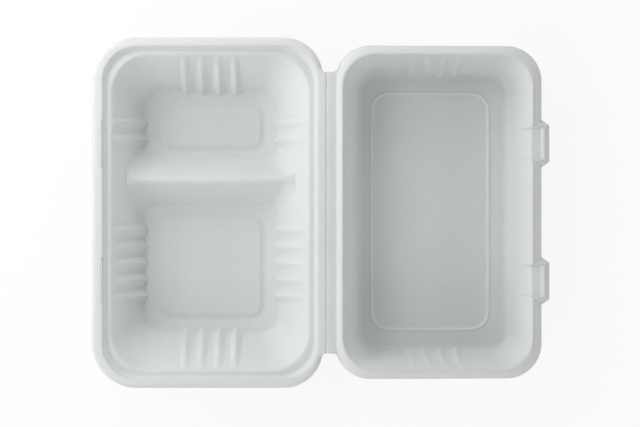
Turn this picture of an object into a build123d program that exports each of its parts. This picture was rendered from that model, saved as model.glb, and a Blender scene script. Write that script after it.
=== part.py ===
"""Two-compartment moulded-fibre meal box, lying open on its hinge strip."""
import os
from math import asin, atan2, cos, degrees, hypot, radians, sin, sqrt, tan

from build123d import *

# Sheet and overall heights
sheet = 0.8
rim_height = 43.0
riser_drop = 4.2
ledge_height = rim_height - riser_drop
floor_top = sheet
crest_height = 23.0
panel_step = 0.7
ring_rise = 1.2
ring_flat = 1.5

# Base, reaches measured from the hinge line, half lengths from the middle
base_near, base_far, base_half = 2.95, 155.8, 116.0
base_corner_near, base_corner_far = 25.5, 30.0
base_roll = 3.2
base_lip = 3.6
riser_top = (5.75, 148.65, 110.3, 24.0)
riser_foot = (8.55, 145.95, 107.6, 23.0)
wall_top = (12.25, 142.65, 105.0, 26.0)
floor_near, floor_far = 33.4, 123.8
floor_upper = (38.7, 81.8)
floor_lower = (-80.1, 4.1)
divider_middle = 21.9
divider_half = 0.5
divider_round = 1.0
edge_round = 0.6
edge_fall = 1.2
corner_floor = 12.0
corner_divider = 8.0
foot_radius = 4.5
foot_steps = (0.0, 31.0, 61.0)
lid_foot_steps = (0.0, 37.0, 73.0)
roll_steps = (90.0, 60.0, 30.0, 0.0)
hollow_steps = (90.0, 45.0, 0.0)
panel_near, panel_far = 42.8, 113.0
panel_upper = (43.2, 73.4)
panel_lower = (-71.2, -1.8)
panel_corner = 8.0
panel_slope = 2.8

# Ribs on the base walls
rib_width = 10.0
rib_reach = 3.3
rib_taper = 0.62
rib_hip = 0.78
rib_pitch = 11.2
rib_end_middle = 78.2
rib_end_count = 4
rib_side_lower = (-34.2, 5)
rib_side_upper = (54.8, 2)

# Slits in the front rim that take the tabs of the lid
slit_length = 31.0
slit_spread = 45.5
slit_outer = 149.1
slit_floor = 1.3

# Hinge strip between the halves
strip_half = 93.0
strip_edge = 0.4
hinge_gap = 0.36
notch_near, notch_far = 2.3, 4.2

# Lid, heights measured from the top of the hinge strip
lid_near, lid_far, lid_half = 5.6, 142.8, 110.3
lid_middle = 0.3
lid_corner = 23.4
lid_rim_drop = 1.2
lid_crest = 4.0
lid_shoulder = (7.4, 141.0, 108.6, 23.0, 1.8)
lid_crest_outer = (9.2, 137.3, 105.6, 22.0)
lid_crest_inner = (10.7, 135.9, 104.2, 22.0)
lid_depth = 36.5
lid_floor_near, lid_floor_far, lid_floor_half = 22.4, 125.6, 93.8
lid_floor_corner = 13.0
lid_panel = (32.2, 111.4, 80.0)
lid_panel_middle = 1.0
lid_panel_step = 0.8
lid_panel_corner = 12.0
lid_panel_slope = 1.3
lid_rib_middle = 72.8
lid_rib_pitch = 10.4
lid_rib_width = 9.2
lid_rib_reach = 2.7
lid_rib_count = 4

# Tabs on the front edge of the lid
tab_spread = 45.6
tab_reach = 147.9
tab_edge_height = 0.7
tab_bead_height = 3.1
tab_root_half, tab_end_half = 15.6, 12.0
tab_slope = 3.2
pocket_far = 141.6
pocket_half = 10.2
pocket_height = 1.7
pocket_slope = 1.9
throat_depth = 0.8
throat_height = 26.0

# Rest pose: the far edge of the lid's panel touches the table
axis_height = rim_height + hinge_gap / 2
lowest_reach = lid_panel[1] - lid_panel_slope
lowest_depth = lid_depth + lid_panel_step + hinge_gap / 2
droop = degrees(
    asin(axis_height / hypot(lowest_reach, lowest_depth)) - atan2(lowest_depth, lowest_reach)
)
tab_rise = tab_edge_height - hinge_gap / 2
lid_plan_reach = tab_reach * cos(radians(droop)) + tab_rise * sin(radians(droop))
hinge_x = (base_far - lid_plan_reach) / 2


def rounded(height, x0, x1, y0, y1, radii):
    """Rounded rectangle at a height; radii run anticlockwise from (x0, y0)."""
    corners = ((x0, y0), (x1, y0), (x1, y1), (x0, y1))
    with BuildSketch(Plane.XY.offset(height)) as face:
        with Locations(((x0 + x1) / 2, (y0 + y1) / 2)):
            Rectangle(x1 - x0, y1 - y0)
        for corner, radius in zip(corners, radii):
            spot = Vector(corner[0], corner[1], 0)
            near = min(face.vertices(), key=lambda v: (Vector(v.X, v.Y, 0) - spot).length)
            fillet(near, radius)
    return face.sketch


def stack(levels):
    """Solid with straight walls through rounded rectangles at rising heights."""
    with BuildPart() as body:
        loft(sections=[rounded(*level) for level in levels], ruled=True)
    return body.part


def pose(shape):
    """Moves a shape from the hinge line at x = 0 to its place in the part."""
    return Pos(hinge_x, 0, 0) * shape


def slope_of(top, foot, rise):
    return (top - foot) / rise


def grown(position, slope, height, level, grow, outward):
    """Wall position at a level, moved out so that the sheet is even."""
    shifted = position + outward * slope * (level - height)
    return shifted + outward * grow * sqrt(1 + slope * slope)


def foot_inset(slope, rise, radius):
    """How far the rounded foot of a wall stands inside its straight line."""
    lean = atan2(slope, 1)
    if rise >= radius * (1 - sin(lean)):
        return 0.0
    tangent = radius * tan((radians(90) - lean) / 2)
    return tangent - sqrt(2 * radius * rise - rise * rise) + slope * rise


# Slopes of the base walls, run over rise
wall_rise = ledge_height - floor_top
slope_near = slope_of(floor_near, wall_top[0], wall_rise)
slope_far = slope_of(wall_top[1], floor_far, wall_rise)
slope_up = slope_of(wall_top[2], floor_upper[1], wall_rise)
slope_down = slope_of(wall_top[2], -floor_lower[0], wall_rise)
divider_edge = divider_half + divider_round
divider_rise = crest_height - floor_top
slope_divider_up = slope_of(floor_upper[0], divider_middle + divider_edge, divider_rise)
slope_divider_down = slope_of(divider_middle - divider_edge, floor_lower[1], divider_rise)


def base_section(level, grow, flare=0.0, y0=None, y1=None):
    """Section of the base walls; y0 or y1 is set where the divider closes it."""
    rise = level - floor_top - ring_rise + grow
    round_foot = foot_radius + grow

    def wall(position, slope, outward):
        place = grown(position, slope, floor_top, level, grow, outward)
        return place + outward * (flare - foot_inset(slope, rise, round_foot))

    inset = foot_inset(slope_up, rise, round_foot)
    share = (level - floor_top) / wall_rise
    radius = corner_floor + (wall_top[3] - corner_floor) * share + grow + flare - inset
    inner = corner_divider + grow - inset
    x0 = -wall(floor_far, slope_far, 1)
    x1 = -wall(floor_near, slope_near, -1)
    bottom = top = radius
    if y0 is None:
        y0 = wall(floor_lower[0], slope_down, -1)
    else:
        y0, bottom = y0 + foot_inset(slope_divider_up, rise, round_foot), inner
    if y1 is None:
        y1 = wall(floor_upper[1], slope_up, 1)
    else:
        y1, top = y1 - foot_inset(slope_divider_down, rise, round_foot), inner
    return (level, x0, x1, y0, y1, (bottom, bottom, top, top))


def bowl(grow, upper):
    """One compartment below the crest of the divider, with a ring that rises to the walls."""
    rises = [(foot_radius + grow) * (1 - cos(radians(step))) for step in foot_steps]
    low = floor_top - grow
    levels = [(low + ring_rise + rise, 0.0) for rise in rises]
    crest = crest_height - grow
    share = 1 - 0.25 * grow
    levels += [(crest - share * edge_fall, 0.0), (crest, share * divider_round)]
    wide = ring_flat
    y0, y1 = panel_upper if upper else panel_lower
    ring = (-panel_far - wide, -panel_near + wide, y0 - wide, y1 + wide)
    sections = [(low, *ring, (panel_corner + wide,) * 4)]
    for level, flare in levels:
        if upper:
            y0 = grown(floor_upper[0], slope_divider_up, floor_top, level, grow, -1) - flare
            sections.append(base_section(level, grow, y0=y0))
        else:
            y1 = grown(floor_lower[1], slope_divider_down, floor_top, level, grow, 1) + flare
            sections.append(base_section(level, grow, y1=y1))
    return stack(sections)


def plate(height, step, x0, x1, y0, y1, corner, slope):
    """Low plateau that widens downwards."""
    wide = (height, x0, x1, y0, y1, (corner,) * 4)
    small = (height + step, x0 + slope, x1 - slope, y0 + slope, y1 - slope, (corner - slope,) * 4)
    return stack((wide, small))


def rib(foot, top, along, width, reach, outward, shift):
    """Roof-shaped rib that narrows up the wall and ends in a hip."""
    run = (top[0] - foot[0]) / (top[1] - foot[1])
    hip = foot[1] + rib_hip * (top[1] - foot[1])
    share = (1 - rib_taper) / (hip - foot[1])
    sign = -1 if outward.endswith("-") else 1

    def place(distance, side, height=0):
        if outward.startswith("x"):
            return (sign * distance, side, height)
        return (side, sign * distance, height)

    def wall(height):
        return foot[0] + run * (height - foot[1]) + shift

    sections = []
    for height in (foot[1] - 2 * sheet, top[1]):
        size = 1 - share * (height - foot[1])
        near, half, back = wall(height), width / 2 * size, 2.0
        points = ((near + back, -half), (near, -half), (near - reach * size, 0), (near, half))
        points += ((near + back, half),)
        with BuildSketch(Plane.XY.offset(height)) as face:
            with BuildLine():
                Polyline(*[place(x, along + y)[:2] for x, y in points], close=True)
            make_face()
        sections.append(face.sketch)
    end = Vector(*place(wall(top[1]), along, top[1]))
    ridge = Vector(*place(wall(hip) - reach * rib_taper, along, hip))
    across = Vector(*place(0, 1))
    normal = (end - ridge).cross(across)
    if normal.Z < 0:
        normal = normal * -1
    with BuildPart() as body:
        loft(sections=sections, ruled=True)
        split(bisect_by=Plane(end, x_dir=across, z_dir=normal), keep=Keep.BOTTOM)
    return body.part


def row(middle, count, pitch):
    return [middle + pitch * (i - (count - 1) / 2) for i in range(count)]


def base_ribs(grow):
    """Ribs on the end walls and side walls of both compartments."""
    ribs = []
    top_height = ledge_height - 1.0

    def wall(distance, slope):
        return (distance, floor_top), (distance + slope * (top_height - floor_top), top_height)

    def shift(slope):
        return grow * sqrt(1 + slope * slope)

    for u in row(-rib_end_middle, rib_end_count, rib_pitch):
        for distance, slope, side in (
            (floor_upper[1], slope_up, "y+"),
            (-floor_lower[0], slope_down, "y-"),
        ):
            foot, top = wall(distance, slope)
            ribs.append(rib(foot, top, u, rib_width, rib_reach, side, shift(slope)))
    for middle, count in (rib_side_lower, rib_side_upper):
        for y in row(middle, count, rib_pitch):
            foot, top = wall(floor_far, slope_far)
            ribs.append(rib(foot, top, y, rib_width, rib_reach, "x-", shift(slope_far)))
            foot, top = wall(-floor_near, slope_near)
            ribs.append(rib(foot, top, y, rib_width, rib_reach, "x+", shift(slope_near)))
    return ribs


def base_form(grow):
    """Space that the base walls enclose, grown by the sheet for their outside."""
    ledge = ledge_height - grow
    well = [
        base_section(level, grow, flare)
        for level, flare in (
            (crest_height - grow, 0.0),
            (ledge - edge_fall, 0.0),
            (ledge, edge_round),
        )
    ]
    top, foot = riser_top, riser_foot
    rise = riser_drop
    slopes = [slope_of(foot[0], top[0], rise)]
    slopes += [slope_of(top[side], foot[side], rise) for side in (1, 2)]
    riser = []
    for height in (ledge, rim_height + 1.0 if grow == 0 else rim_height - sheet / 2):
        near = -grown(foot[0], slopes[0], ledge_height, height, grow, -1)
        far = -grown(foot[1], slopes[1], ledge_height, height, grow, 1)
        half = grown(foot[2], slopes[2], ledge_height, height, grow, 1)
        riser.append((height, far, near, -half, half, (foot[3] + grow,) * 4))
    with BuildPart() as body:
        add(stack(riser))
        add(stack(well))
        add(bowl(grow, True))
        add(bowl(grow, False))
        for y0, y1 in (panel_upper, panel_lower):
            add(
                plate(
                    floor_top - grow, panel_step, -panel_far, -panel_near, y0, y1,
                    panel_corner, panel_slope,
                ),
                mode=Mode.SUBTRACT,
            )
        add(base_ribs(grow), mode=Mode.SUBTRACT)
    return body.part


def block(x0, x1, y0, y1, z0, z1):
    with BuildPart() as body:
        with Locations(((x0 + x1) / 2, (y0 + y1) / 2, (z0 + z1) / 2)):
            Box(x1 - x0, y1 - y0, z1 - z0)
    return body.part


def base_rim(inset):
    """Flange block with a rolled outer edge, inset by the sheet for its hollow."""
    low, high = rim_height - base_lip - inset, rim_height - inset
    radius = base_roll - inset
    levels = [(low, inset)]
    for step in roll_steps if inset == 0 else hollow_steps:
        turn = radians(step)
        levels.append((high - radius * (1 - cos(turn)), inset + radius * (1 - sin(turn))))
    sections = []
    for level, back in levels:
        y = base_half - back
        far, near = base_corner_far - back, base_corner_near - back
        radii = (far, near, near, far)
        sections.append((level, -base_far + back, -base_near - back, -y, y, radii))
    return stack(sections)


def strip(outline, side, reach, notch):
    """Flat strip from the hinge line into a rim, with rounded notches at its ends."""
    edge = side * hinge_gap / 2
    inner = side * reach
    with BuildPart() as body:
        with BuildSketch(Plane.XY.offset(rim_height - sheet)) as face:
            with Locations(((edge + inner) / 2, 0)):
                Rectangle(abs(inner - edge), 2 * strip_half)
            add(outline)
            ends = [v for v in face.vertices() if abs(abs(v.Y) - strip_half) < 1e-3]
            fillet([v for v in ends if abs(v.X) > abs(edge) + 0.5], notch)
        extrude(amount=sheet)
        low = rim_height - 2 * sheet
        x0, x1 = sorted((edge, inner))
        y = strip_half + notch
        add(block(x0, x1, -y, y, low, rim_height + 1), mode=Mode.INTERSECT)
        seam = [e for e in body.edges().filter_by(Axis.Y) if abs(e.center().X - edge) < 1e-3]
        chamfer(ShapeList(seam).sort_by(Axis.Z)[-1], strip_edge)
    return body.part


def base_part():
    radii = (base_corner_far, base_corner_near, base_corner_near, base_corner_far)
    outline = rounded(0, -base_far, -base_near, -base_half, base_half, radii)
    under = rim_height - sheet
    lip = base_near + base_roll
    with BuildPart() as body:
        add(base_rim(0))
        add(base_rim(sheet), mode=Mode.SUBTRACT)
        y = strip_half - sheet
        add(block(-lip, 1, -y, y, under - 2 * base_lip, under), mode=Mode.SUBTRACT)
        add(strip(outline, -1, lip, notch_near))
        add(base_form(sheet))
        add(base_form(0), mode=Mode.SUBTRACT)
        for y in (-slit_spread, slit_spread):
            half = slit_length / 2
            inner = riser_foot[1]
            low = rim_height - slit_floor
            add(
                block(-slit_outer, -inner, y - half, y + half, low, rim_height + 1),
                mode=Mode.SUBTRACT,
            )
    return body.part


def lid_wall(level, grow, flare=0.0):
    """Section of the lid walls at a level measured from the top of the strip."""
    floor = sheet - lid_depth
    rise = lid_crest - floor
    near = slope_of(lid_floor_near, lid_crest_inner[0], rise)
    far = slope_of(lid_crest_inner[1], lid_floor_far, rise)
    end = slope_of(lid_crest_inner[2], lid_floor_half, rise)
    share = (level - floor) / rise
    over = level - floor + grow
    insets = [foot_inset(slope, over, foot_radius + grow) for slope in (near, far, end)]
    radius = lid_floor_corner + (lid_crest_inner[3] - lid_floor_corner) * share
    radius += grow + flare - insets[2]
    x0 = grown(lid_floor_near, near, floor, level, grow, -1) + insets[0] - flare
    x1 = grown(lid_floor_far, far, floor, level, grow, 1) - insets[1] + flare
    y = grown(lid_floor_half, end, floor, level, grow, 1) - insets[2] + flare
    height = rim_height + level
    return (height, x0, x1, lid_middle - y, lid_middle + y, (radius,) * 4), (near, far, end)


def lid_ribs(grow):
    floor = sheet - lid_depth
    _, (_, _, end) = lid_wall(floor, 0)
    y0, y1 = lid_middle - lid_floor_half, lid_middle + lid_floor_half
    top = lid_crest - 3.0
    shift = grow * sqrt(1 + end * end)
    ribs = []
    for x in row(lid_rib_middle, lid_rib_count, lid_rib_pitch):
        for distance, side in ((y1, "y+"), (-y0, "y-")):
            foot = (distance, rim_height + floor)
            head = (distance + end * (top - floor), rim_height + top)
            ribs.append(rib(foot, head, x, lid_rib_width, lid_rib_reach, side, shift))
    return ribs


def pocket(y, grow):
    """Room behind one tab's bead, with a throat let into the wall below it."""
    low = rim_height + pocket_height - grow
    high = rim_height + lid_crest + 1.0
    run = pocket_slope / (tab_bead_height - pocket_height)
    spread = grow * sqrt(1 + run * run)
    levels = []
    for height in (low, high):
        out = run * (height - rim_height - pocket_height) + spread
        half = pocket_half + min(out, 2.5 + grow)
        levels.append((height, lid_crest_inner[1] - 6, pocket_far + out, y - half, y + half))
    sections = []
    for height, x0, x1, y0, y1 in levels:
        with BuildSketch(Plane.XY.offset(height)) as face:
            with Locations(((x0 + x1) / 2, (y0 + y1) / 2)):
                Rectangle(x1 - x0, y1 - y0)
        sections.append(face.sketch)
    with BuildPart() as body:
        loft(sections=sections, ruled=True)
    return body.part


def throat(y, grow):
    """Shallow recess of the wall that deepens from nothing up to the pocket."""
    sections = []
    for level, depth in ((lid_crest - throat_height, -0.05), (lid_crest, throat_depth)):
        (height, _, x1, _, _, _), _ = lid_wall(level, grow)
        half = pocket_half + grow
        with BuildSketch(Plane.XY.offset(height)) as face:
            with Locations((x1 + depth - 3, y)):
                Rectangle(6, 2 * half)
        sections.append(face.sketch)
    with BuildPart() as body:
        loft(sections=sections, ruled=True)
    return body.part


def lid_form(grow):
    """Space inside the lid, grown by the sheet for its outside."""
    floor = sheet - lid_depth
    crest = lid_crest - grow
    levels = []
    for step in lid_foot_steps:
        levels.append((floor - grow + (foot_radius + grow) * (1 - cos(radians(step))), 0.0))
    if grow == 0:
        levels += [(crest - edge_fall / 2, 0.0), (crest + 1.0, edge_round)]
    else:
        levels.append((crest, 0.0))
    with BuildPart() as body:
        add(stack([lid_wall(level, grow, flare)[0] for level, flare in levels]))
        add(lid_ribs(grow), mode=Mode.SUBTRACT)
        x0, x1, half = lid_panel
        y0, y1 = lid_panel_middle - half, lid_panel_middle + half
        low = rim_height + floor - grow
        levels = []
        for rise in (-lid_panel_step, lid_panel_step / 2):
            wide = lid_panel_slope * rise / lid_panel_step
            corner = lid_panel_corner + wide
            levels.append((low + rise, x0 - wide, x1 + wide, y0 - wide, y1 + wide, (corner,) * 4))
        add(stack(levels))
        for y in (-tab_spread, tab_spread):
            if grow == 0:
                add(pocket(lid_middle + y, grow))
            add(throat(lid_middle + y, grow))
    return body.part


def lid_rim(inset):
    """Rim block of the lid: a convex outer slope up to the crest."""
    near, far, half = lid_near, lid_far, lid_half
    foot = (-lid_rim_drop - inset, near, far, half, lid_corner)
    shoulder = lid_shoulder
    crest = lid_crest_outer
    cap = edge_round / 2
    levels = []
    sections = [foot, (shoulder[4] - inset / 2, *shoulder[:4])]
    sections.append((lid_crest - inset - (edge_fall / 3 if inset == 0 else 0), *crest))
    if inset == 0:
        sections.append((lid_crest, crest[0] + cap, crest[1] - cap, crest[2] - cap, crest[3] - cap))
    for level, x0, x1, y, radius in sections:
        y0, y1 = lid_middle - y + inset, lid_middle + y - inset
        radii = (radius - inset,) * 4
        levels.append((rim_height + level, x0 + inset, x1 - inset, y0, y1, radii))
    return stack(levels)


def tab(y, inset):
    """Tab block with chamfered corners and a raised bead round three sides."""
    sections = []
    run = tab_slope / (tab_bead_height - tab_edge_height)
    low = tab_edge_height - sheet * 1.3 - inset
    for level in (low, tab_bead_height - inset):
        lift = level - tab_edge_height
        back = max(run * lift, 0) + inset
        x1 = tab_reach - back
        root, end = tab_root_half - back, tab_end_half - back / 2
        x0 = lid_far - 6
        points = ((x0, root), (lid_far - back, root), (x1, end), (x1, -end), (lid_far - back, -root))
        with BuildSketch(Plane.XY.offset(rim_height + level)) as face:
            with BuildLine():
                Polyline(*[(px, y + py) for px, py in points], (x0, y - root), close=True)
            make_face()
        sections.append(face.sketch)
    with BuildPart() as body:
        loft(sections=sections, ruled=True)
    return body.part


def lid_hollow():
    """Space under the rim, the tabs and their beads."""
    with BuildPart() as body:
        add(lid_rim(sheet))
        for y in (-tab_spread, tab_spread):
            add(tab(lid_middle + y, sheet))
            add(pocket(lid_middle + y, sheet), mode=Mode.SUBTRACT)
    return body.part


def lid_part():
    outline = rounded(
        0, lid_near, lid_far, lid_middle - lid_half, lid_middle + lid_half, (lid_corner,) * 4
    )
    under = rim_height - sheet
    with BuildPart() as body:
        add(lid_rim(0))
        for y in (-tab_spread, tab_spread):
            add(tab(lid_middle + y, 0))
        add(lid_hollow(), mode=Mode.SUBTRACT)
        y = strip_half - sheet
        add(block(-1, lid_near + 3, -y, y, under - 4, under), mode=Mode.SUBTRACT)
        add(strip(outline, 1, lid_near + 3, notch_far))
        add(lid_form(sheet))
        add(lid_form(0), mode=Mode.SUBTRACT)
    return body.part


def droop_lid(shape):
    """Turns the lid about the hinge line until its far side meets the table."""
    lowered = Pos(0, 0, -axis_height) * shape
    return Pos(0, 0, axis_height) * (Rot(0, droop, 0) * lowered)


with BuildPart() as base:
    add(pose(base_part()))
base.part.label = "base"

with BuildPart() as lid:
    add(pose(droop_lid(lid_part())))
lid.part.label = "lid"

os.makedirs("parts", exist_ok=True)
export_step(base.part, "parts/base.step")
export_step(lid.part, "parts/lid.step")
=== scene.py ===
"""Look of the open moulded-fibre meal box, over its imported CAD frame.

Lengths are in metres and angles in degrees. The tray lies at negative X and the lid at
positive X, with the crease between them along Y.
"""
import math

import bpy
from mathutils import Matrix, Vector

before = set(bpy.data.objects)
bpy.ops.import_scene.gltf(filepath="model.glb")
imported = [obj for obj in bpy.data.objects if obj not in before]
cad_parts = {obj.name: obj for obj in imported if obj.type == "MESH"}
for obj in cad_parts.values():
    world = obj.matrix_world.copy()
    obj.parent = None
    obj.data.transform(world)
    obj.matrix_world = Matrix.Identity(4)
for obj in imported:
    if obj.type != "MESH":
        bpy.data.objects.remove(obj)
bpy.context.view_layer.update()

# Colour of the fibre: two linear colours, and where each sits on the scale of tone.
DARK_FIBRE, DARK_TONE = (0.615, 0.638, 0.618, 1), 0.30
LIGHT_FIBRE, LIGHT_TONE = (0.684, 0.705, 0.686, 1), 0.75
FIBRE_ROUGHNESS = 0.86
FIBRE_SPECULAR = 0.25

# Noise in the fibre: scale, detail and roughness of each.
CLOUD = (22.0, 3.0, 0.5)
MOTTLE = (330.0, 4.0, 0.6)
GRAIN = (1900.0, 3.0, 0.65)

# Strands cross in two directions: noise, then turn in radians and stretch of its axes.
STRANDS = (
    ((420.0, 2.0, 0.5), (0.3, 0.2, 0.5), (1.0, 7.0, 3.0)),
    ((380.0, 2.0, 0.5), (0.1, 0.4, -0.7), (7.0, 1.0, 3.0)),
)

# Share of each pattern in the colour, and in the height of the surface.
CLOUD_TONE, MOTTLE_TONE, GRAIN_TONE, STRANDS_TONE = 0.25, 0.35, 0.22, 0.5
GRAIN_HEIGHT, MOTTLE_HEIGHT, STRANDS_HEIGHT, MESH_HEIGHT = 0.5, 0.55, 0.7, 0.16
FIBRE_RELIEF = 0.00016
FIBRE_RELIEF_STRENGTH = 0.45

# Imprint of the forming mesh, on faces whose normal points below this Z.
MESH_PITCH = 0.0009
UNDERSIDE_NORMAL = -0.02

# Rounding of the shading over edges.
EDGE_RADIUS = 0.0018
EDGE_SAMPLES = 8

# Outline of the lid's panel: middle X and Y, half lengths, corner radius.
LID_PANEL = (0.0740, 0.0010, 0.0400, 0.0802, 0.0120)
PANEL_EDGE_WIDTH = 0.0009
PANEL_EDGE_HEIGHT = 0.00030

# Edges that fold less than this are shaded smooth: anywhere, and among the end ribs.
SHALLOW_FOLD = 9
RIB_FOLD = 74

# Where the end ribs are in each half: least distance from the middle in Y, Z from and to.
RIB_ZONES = {
    "base": (0.077, 0.0035, 0.0372),
    "lid": (0.090, 0.0095, 0.0425),
}
WELD_DISTANCE = 1e-5
FACE_WEIGHT = 50

TABLE_HALF = 6.0
TABLE_LEVEL = -0.0002
TABLE_COLOUR = (0.80, 0.80, 0.80, 1)
TABLE_WHITENESS = 0.88

# Lamps: name, turn from +X, tilt above the table, distance, side and power in watts.
LAMPS = (
    ("lamp_left", 180, 20, 0.6, 0.30, 1.28),
    ("lamp_back_left", 135, 40, 0.6, 0.30, 1.42),
    ("lamp_front", 270, 20, 0.6, 0.30, 1.05),
    ("lamp_back", 90, 20, 0.6, 0.30, 1.00),
    ("lamp_right", 0, 20, 0.6, 0.30, 0.47),
    ("lamp_far_right", 0, 20, 1.3, 0.60, 2.25),
    ("lamp_front_left", 225, 40, 1.3, 0.60, 2.80),
)
LAMP_BASE_LEVEL = 0.03
LAMP_TARGET = (0, 0, 0.02)
WORLD_STRENGTH = 0.28

# Camera straight above the box; the photo covers PHOTO_WIDTH at the height of the rim.
RIM_HEIGHT = 0.043
CAMERA_DISTANCE = 1.55
CAMERA_X, CAMERA_Y = -0.0006, -0.0005
PHOTO_WIDTH = 0.4230
SENSOR_WIDTH = 36.0
CAMERA_REACH = 20.0


def math_node(tree, operation, *values):
    """Adds a maths node fed by numbers or sockets, and gives its output."""
    made = tree.nodes.new("ShaderNodeMath")
    made.operation = operation
    for socket, value in zip(made.inputs, values):
        if isinstance(value, (int, float)):
            socket.default_value = value
        else:
            tree.links.new(value, socket)
    return made.outputs[0]


def weighted_sum(tree, *terms):
    """Adds up sockets, each times its weight."""
    total = None
    for value, weight in terms:
        part = math_node(tree, "MULTIPLY", value, weight)
        total = part if total is None else math_node(tree, "ADD", total, part)
    return total


def noise(tree, coordinates, pattern):
    """Noise of features about 1 / scale metres wide."""
    made = tree.nodes.new("ShaderNodeTexNoise")
    for name, value in zip(("Scale", "Detail", "Roughness"), pattern):
        made.inputs[name].default_value = value
    tree.links.new(coordinates, made.inputs["Vector"])
    return made.outputs["Fac"]


def strand_noise(tree, coordinates, pattern, turn, stretch):
    """Noise drawn out along one axis, like fibres that lie one way."""
    mapping = tree.nodes.new("ShaderNodeMapping")
    mapping.inputs["Rotation"].default_value = turn
    mapping.inputs["Scale"].default_value = stretch
    tree.links.new(coordinates, mapping.inputs["Vector"])
    return noise(tree, mapping.outputs["Vector"], pattern)


def mesh_imprint(tree, x, y, normal):
    """Fine grid of waves, on the underside only."""
    per_metre = 2 * math.pi / MESH_PITCH
    waves = [math_node(tree, "SINE", math_node(tree, "MULTIPLY", along, per_metre))
             for along in (x, y)]
    grid = math_node(tree, "MULTIPLY", *waves)
    facing = tree.nodes.new("ShaderNodeSeparateXYZ")
    tree.links.new(normal, facing.inputs[0])
    under = math_node(tree, "LESS_THAN", facing.outputs["Z"], UNDERSIDE_NORMAL)
    return math_node(tree, "MULTIPLY", grid, under)


def outline_distance(tree, x, y, box):
    """Signed distance in plan from the outline of a rounded rectangle."""
    middle_x, middle_y, half_x, half_y, radius = box
    squares, reaches = [], []
    for value, middle, half in ((x, middle_x, half_x), (y, middle_y, half_y)):
        reach = math_node(tree, "SUBTRACT", value, middle)
        reach = math_node(tree, "ABSOLUTE", reach)
        reach = math_node(tree, "SUBTRACT", reach, half - radius)
        past = math_node(tree, "MAXIMUM", reach, 0.0)
        squares.append(math_node(tree, "MULTIPLY", past, past))
        reaches.append(reach)
    outside = math_node(tree, "SQRT", math_node(tree, "ADD", *squares))
    inside = math_node(tree, "MAXIMUM", *reaches)
    inside = math_node(tree, "MINIMUM", inside, 0.0)
    whole = math_node(tree, "ADD", outside, inside)
    return math_node(tree, "SUBTRACT", whole, radius)


def panel_line(tree, x, y):
    """Low bead along the edge of the lid's panel."""
    apart = outline_distance(tree, x, y, LID_PANEL)
    square = math_node(tree, "MULTIPLY", apart, apart)
    power = math_node(tree, "MULTIPLY", square, -1 / PANEL_EDGE_WIDTH ** 2)
    return math_node(tree, "EXPONENT", power)


def bump(tree, height, normal, strength, distance):
    """Tilts a normal by a height in the material."""
    made = tree.nodes.new("ShaderNodeBump")
    made.inputs["Strength"].default_value = strength
    made.inputs["Distance"].default_value = distance
    tree.links.new(height, made.inputs["Height"])
    tree.links.new(normal, made.inputs["Normal"])
    return made.outputs[0]


def empty_material(name):
    """Makes a material with an output node alone, and gives it, its tree and that node."""
    material = bpy.data.materials.new(name)
    material.use_nodes = True
    tree = material.node_tree
    tree.nodes.clear()
    output = tree.nodes.new("ShaderNodeOutputMaterial")
    return material, tree, output


def fibre_material(name):
    """Pale pressed fibre: mottled colour, fine fibres, mesh imprint underneath."""
    material, tree, output = empty_material(name)
    shader = tree.nodes.new("ShaderNodeBsdfPrincipled")
    shader.inputs["Roughness"].default_value = FIBRE_ROUGHNESS
    shader.inputs["Specular IOR Level"].default_value = FIBRE_SPECULAR
    tree.links.new(shader.outputs[0], output.inputs["Surface"])

    where = tree.nodes.new("ShaderNodeTexCoord")
    place = where.outputs["Object"]
    split = tree.nodes.new("ShaderNodeSeparateXYZ")
    tree.links.new(place, split.inputs[0])
    x, y = split.outputs["X"], split.outputs["Y"]

    cloud = noise(tree, place, CLOUD)
    mottle = noise(tree, place, MOTTLE)
    grain = noise(tree, place, GRAIN)
    strands = math_node(tree, "MULTIPLY", *[strand_noise(tree, place, *way) for way in STRANDS])
    imprint = mesh_imprint(tree, x, y, where.outputs["Normal"])

    tone = weighted_sum(tree, (cloud, CLOUD_TONE), (mottle, MOTTLE_TONE),
                        (grain, GRAIN_TONE), (strands, STRANDS_TONE))
    ramp = tree.nodes.new("ShaderNodeValToRGB")
    dark, light = ramp.color_ramp.elements
    dark.position, dark.color = DARK_TONE, DARK_FIBRE
    light.position, light.color = LIGHT_TONE, LIGHT_FIBRE
    tree.links.new(tone, ramp.inputs["Fac"])
    tree.links.new(ramp.outputs["Color"], shader.inputs["Base Color"])

    rounded = tree.nodes.new("ShaderNodeBevel")
    rounded.samples = EDGE_SAMPLES
    rounded.inputs["Radius"].default_value = EDGE_RADIUS
    normal = bump(tree, panel_line(tree, x, y), rounded.outputs[0], 1.0, PANEL_EDGE_HEIGHT)
    height = weighted_sum(tree, (grain, GRAIN_HEIGHT), (mottle, MOTTLE_HEIGHT),
                          (strands, STRANDS_HEIGHT), (imprint, MESH_HEIGHT))
    normal = bump(tree, height, normal, FIBRE_RELIEF_STRENGTH, FIBRE_RELIEF)
    tree.links.new(normal, shader.inputs["Normal"])
    return material


def compare(tree, value, operation, limit):
    """Tests a socket against a limit."""
    made = tree.nodes.new("FunctionNodeCompare")
    made.data_type = "FLOAT"
    made.operation = operation
    made.inputs["B"].default_value = limit
    tree.links.new(value, made.inputs["A"])
    return made.outputs[0]


def joined(tree, operation, first, second):
    """Joins two tests with AND or OR."""
    made = tree.nodes.new("FunctionNodeBooleanMath")
    made.operation = operation
    tree.links.new(first, made.inputs[0])
    tree.links.new(second, made.inputs[1])
    return made.outputs[0]


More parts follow.
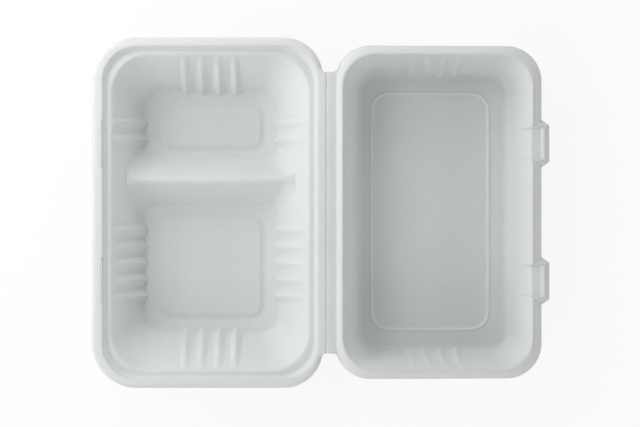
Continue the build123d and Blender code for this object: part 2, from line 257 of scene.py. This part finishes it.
def smoothing_group(rib_side, rib_low, rib_high):
    """Geometry nodes that smooth shallow edges, and steeper ones among the end ribs."""
    group = bpy.data.node_groups.new("smooth_edges", "GeometryNodeTree")
    for direction in ("INPUT", "OUTPUT"):
        group.interface.new_socket("Geometry", in_out=direction, socket_type="NodeSocketGeometry")
    start = group.nodes.new("NodeGroupInput")
    end = group.nodes.new("NodeGroupOutput")
    faces = group.nodes.new("GeometryNodeSetShadeSmooth")
    faces.domain = "FACE"
    edges = group.nodes.new("GeometryNodeSetShadeSmooth")
    edges.domain = "EDGE"
    fold = group.nodes.new("GeometryNodeInputMeshEdgeAngle").outputs["Unsigned Angle"]
    place = group.nodes.new("GeometryNodeInputPosition")
    split = group.nodes.new("ShaderNodeSeparateXYZ")
    group.links.new(place.outputs[0], split.inputs[0])
    side = math_node(group, "ABSOLUTE", split.outputs["Y"])
    ribs = compare(group, side, "GREATER_THAN", rib_side)
    for value, operation, limit in (
            (split.outputs["Z"], "GREATER_THAN", rib_low),
            (split.outputs["Z"], "LESS_THAN", rib_high),
            (fold, "LESS_THAN", math.radians(RIB_FOLD))):
        ribs = joined(group, "AND", ribs, compare(group, value, operation, limit))
    shallow = compare(group, fold, "LESS_THAN", math.radians(SHALLOW_FOLD))
    smooth = joined(group, "OR", ribs, shallow)
    group.links.new(start.outputs[0], faces.inputs["Geometry"])
    group.links.new(faces.outputs[0], edges.inputs["Geometry"])
    group.links.new(smooth, edges.inputs["Shade Smooth"])
    group.links.new(edges.outputs[0], end.inputs[0])
    return group


def dress(cad_node, material, rib_zone):
    """Gives a half its material and its smooth shading. The mesh keeps its shape."""
    cad_node.data.materials.clear()
    cad_node.data.materials.append(material)
    weld = cad_node.modifiers.new("weld", "WELD")
    weld.merge_threshold = WELD_DISTANCE
    smooth = cad_node.modifiers.new("smooth", "NODES")
    smooth.node_group = smoothing_group(*rib_zone)
    weighted = cad_node.modifiers.new("weighted", "WEIGHTED_NORMAL")
    weighted.keep_sharp = True
    weighted.weight = FACE_WEIGHT


def table_material():
    """White table: nearly white where it is seen, matte and pale to all other light."""
    material, tree, output = empty_material("table")
    mix = tree.nodes.new("ShaderNodeMixShader")
    matte = tree.nodes.new("ShaderNodeBsdfDiffuse")
    matte.inputs["Color"].default_value = TABLE_COLOUR
    white = tree.nodes.new("ShaderNodeEmission")
    white.inputs["Color"].default_value = (1, 1, 1, 1)
    white.inputs["Strength"].default_value = 1.0
    path = tree.nodes.new("ShaderNodeLightPath")
    seen = math_node(tree, "ADD", path.outputs["Is Camera Ray"], path.outputs["Is Glossy Ray"])
    seen = math_node(tree, "ADD", seen, path.outputs["Is Transmission Ray"])
    share = math_node(tree, "MULTIPLY", seen, TABLE_WHITENESS)
    tree.links.new(share, mix.inputs["Fac"])
    tree.links.new(matte.outputs[0], mix.inputs[1])
    tree.links.new(white.outputs[0], mix.inputs[2])
    tree.links.new(mix.outputs[0], output.inputs["Surface"])
    return material


def table():
    """Flat square table, a little below the box."""
    mesh = bpy.data.meshes.new("table")
    corners = ((-1, -1), (1, -1), (1, 1), (-1, 1))
    points = [(x * TABLE_HALF, y * TABLE_HALF, TABLE_LEVEL) for x, y in corners]
    mesh.from_pydata(points, [], [(0, 1, 2, 3)])
    thing = bpy.data.objects.new("table", mesh)
    bpy.context.scene.collection.objects.link(thing)
    mesh.materials.append(table_material())


def area_light(name, turn, tilt, distance, size, strength):
    """Soft square lamp that faces the middle of the box."""
    turn, tilt = math.radians(turn), math.radians(tilt)
    flat = distance * math.cos(tilt)
    level = LAMP_BASE_LEVEL + distance * math.sin(tilt)
    place = (flat * math.cos(turn), flat * math.sin(turn), level)
    lamp = bpy.data.lights.new(name, "AREA")
    lamp.shape = "SQUARE"
    lamp.size = size
    lamp.energy = strength
    thing = bpy.data.objects.new(name, lamp)
    thing.location = place
    aim = Vector(LAMP_TARGET) - Vector(place)
    thing.rotation_euler = aim.to_track_quat("-Z", "Y").to_euler()
    bpy.context.scene.collection.objects.link(thing)


def surroundings():
    """Even white light from all round."""
    world = bpy.data.worlds.new("surroundings")
    bpy.context.scene.world = world
    world.use_nodes = True
    background = world.node_tree.nodes["Background"]
    background.inputs["Color"].default_value = (1.0, 1.0, 1.0, 1)
    background.inputs["Strength"].default_value = WORLD_STRENGTH


def camera_above():
    """Camera that looks straight down, as in the photo."""
    lens = bpy.data.cameras.new("camera")
    lens.sensor_width = SENSOR_WIDTH
    lens.lens = SENSOR_WIDTH * CAMERA_DISTANCE / PHOTO_WIDTH
    lens.clip_end = CAMERA_REACH
    thing = bpy.data.objects.new("camera", lens)
    thing.location = (CAMERA_X, CAMERA_Y, RIM_HEIGHT + CAMERA_DISTANCE)
    thing.rotation_euler = (0, 0, 0)
    bpy.context.scene.collection.objects.link(thing)
    bpy.context.scene.camera = thing


fibre = fibre_material("fibre")
for name, cad_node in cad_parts.items():
    dress(cad_node, fibre, RIB_ZONES[name])
table()
for lamp_values in LAMPS:
    area_light(*lamp_values)
surroundings()
camera_above()
bpy.context.scene.view_settings.view_transform = "Standard"
